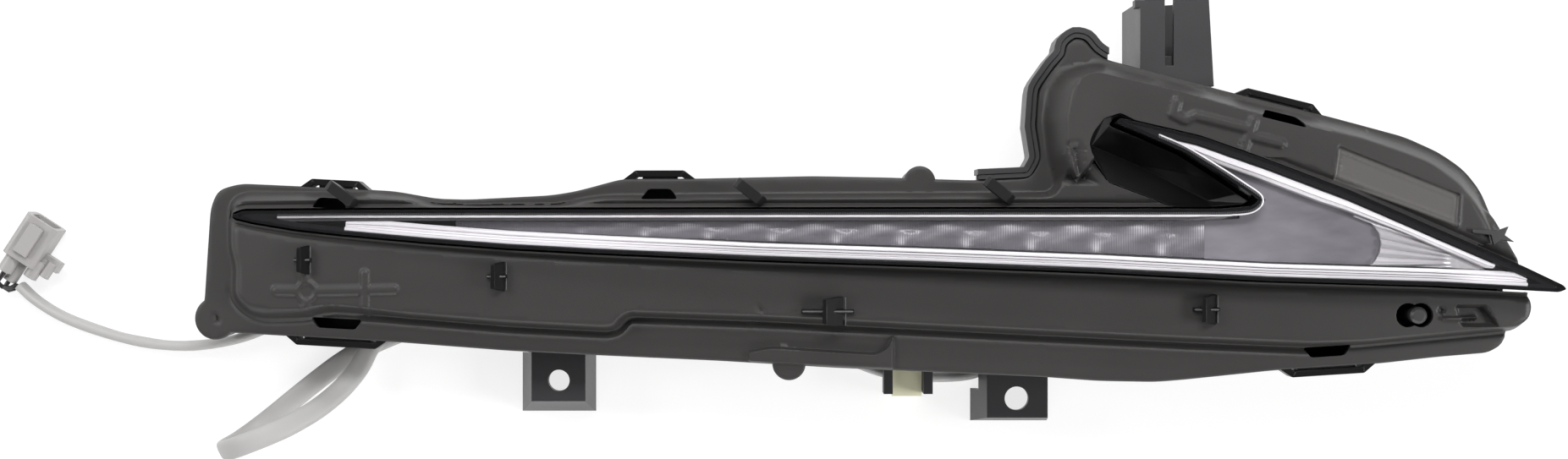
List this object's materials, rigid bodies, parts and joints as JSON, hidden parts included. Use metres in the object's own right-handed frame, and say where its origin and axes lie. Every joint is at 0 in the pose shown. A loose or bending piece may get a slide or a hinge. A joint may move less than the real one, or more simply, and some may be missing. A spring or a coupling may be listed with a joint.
{
  "type": "daytime running light",
  "caption": "Slim arrow-shaped daytime running light for a front bumper corner, with a textured black housing, a clear lens over light strips, and a grey harness with a small connector.",
  "frame": {"origin": "under the middle of the lamp's box, without its harness, on the plane that the lamp lies on", "axes": "+X along the lamp to the arrow tip, +Y toward the upper wing, +Z out of the lens"},
  "size_m": [0.6096, 0.1831, 0.0773],
  "materials": {
    "textured_black": "fine grained, semi matte",
    "housing_black": "semi matte",
    "gloss_black": "polished",
    "clear_lens": "clear and smooth",
    "seal_rubber": "satin",
    "bright_strip": "bright",
    "optic_grey": "pillowed, satin",
    "bezel_grey": "satin metallic grey",
    "reflector": "ribbed mirror",
    "chamber_grey": "satin",
    "board_white": "solder mask",
    "chip_yellow": "satin",
    "aluminium": "as extruded",
    "screw_steel": "satin",
    "board_green": "solder mask",
    "clip_cream": "satin",
    "sleeve_grey": "soft, satin",
    "wire_black": "satin",
    "connector_grey": "satin",
    "terminal_brass": "tinned"
  },
  "bodies": {
    "root": {"rear_housing": "housing_black", "front_cover": "textured_black", "lens_frame": "gloss_black", "outer_lens": "clear_lens", "lens_seal": "seal_rubber", "cover_seal": "seal_rubber", "pocket_trim": "gloss_black", "upper_light_strip": "bright_strip", "lower_light_strip": "bright_strip", "leg_light_strip": "bright_strip", "pillow_optic": "optic_grey", "inner_bezel": "bezel_grey", "corner_reflector": "reflector", "light_chamber": "chamber_grey", "led_board": "board_white", "corner_led_board": "board_white", "led_chips": "chip_yellow", "corner_led_chips": "chip_yellow", "heat_sink": "aluminium", "board_screws": "screw_steel", "locating_pin": "housing_black", "wing_clip": "housing_black", "driver_board": "board_green", "driver_lid": "housing_black", "lid_gasket": "seal_rubber", "lid_screws": "screw_steel", "breather_cap": "seal_rubber", "harness_grommet": "seal_rubber", "harness_clip": "clip_cream", "sleeve": "sleeve_grey", "wires": "wire_black", "connector_shell": "connector_grey", "connector_lock": "connector_grey", "wire_seals": "seal_rubber", "terminals": "terminal_brass"}
  },
  "joints": []
}
